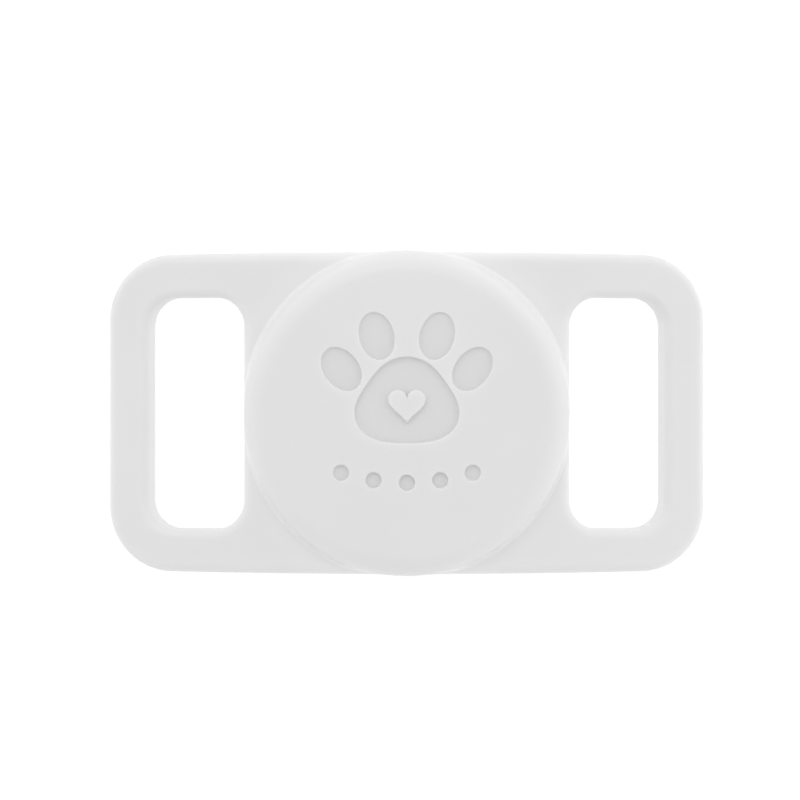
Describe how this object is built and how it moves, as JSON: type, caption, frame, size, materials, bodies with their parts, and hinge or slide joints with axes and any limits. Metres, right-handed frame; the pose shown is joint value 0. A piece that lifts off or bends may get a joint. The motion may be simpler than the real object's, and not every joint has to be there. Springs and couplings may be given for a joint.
{
  "type": "tracker tag holder",
  "caption": "White silicone collar holder for a coin-shaped tracker tag: round case with a sunk paw print between two strap loops, with the tag and its battery cover inside.",
  "frame": {"origin": "centre of the case in the plane of its flat back rim, which is the lowest plane of the part", "axes": "+Z out of the closed front face, +X along the collar through both strap loops, +Y across the collar towards the top of the print"},
  "size_m": [0.065, 0.035, 0.011],
  "materials": {
    "silicone": "matte moulded silicone",
    "shell_plastic": "glossy",
    "frame_plastic": "satin",
    "seal_adhesive": "dull",
    "carrier_plastic": "matte",
    "copper": "bare copper",
    "magnet": "nickel plated",
    "yoke_steel": "zinc plated",
    "board": "solder mask",
    "can_metal": "tinned",
    "chip_black": "moulded epoxy",
    "ceramic": "ceramic",
    "contact_gold": "gold plated",
    "cell_steel": "satin",
    "cell_fill": "pressed powder",
    "gasket": "natural",
    "cover_steel": "polished stainless steel",
    "ring_steel": "satin"
  },
  "bodies": {
    "holder": {"holder_body": "silicone"},
    "tag": {"tag_shell": "shell_plastic", "shell_seal": "seal_adhesive", "rear_frame": "frame_plastic", "antenna_carrier": "carrier_plastic", "antenna_traces": "copper", "nfc_coil": "copper", "voice_coil": "copper", "speaker_magnet": "magnet", "magnet_yoke": "yoke_steel", "circuit_board": "board", "radio_module": "can_metal", "board_chips": "chip_black", "capacitors": "ceramic", "side_contacts": "contact_gold", "centre_contact": "contact_gold"},
    "coin_cell": {"cell_can": "cell_steel", "cell_core": "cell_fill", "cell_gasket": "gasket", "cell_cap": "cell_steel"},
    "cover": {"battery_cover": "cover_steel", "cover_ring": "ring_steel"}
  },
  "joints": [
    {"name": "tag_push_out", "type": "slide", "parent": "holder", "child": "tag", "axis": [0, 0, -1], "range_m": [0, 0.015], "deforming": ["holder_body"]},
    {"name": "cell_rise", "type": "slide", "parent": "tag", "child": "coin_cell", "axis": [0, 0, -1], "range_m": [0, 0.0003], "deforming": ["centre_contact"]},
    {"name": "cover_twist", "type": "hinge", "parent": "coin_cell", "child": "cover", "pos_m": [0, 0, 0.0012], "axis": [0, 0, 1], "range_deg": [0, 20]}
  ],
  "couplings": [
    {"joint": "cover_twist", "follows": "cell_rise", "rad_per_m": 1163.5}
  ]
}
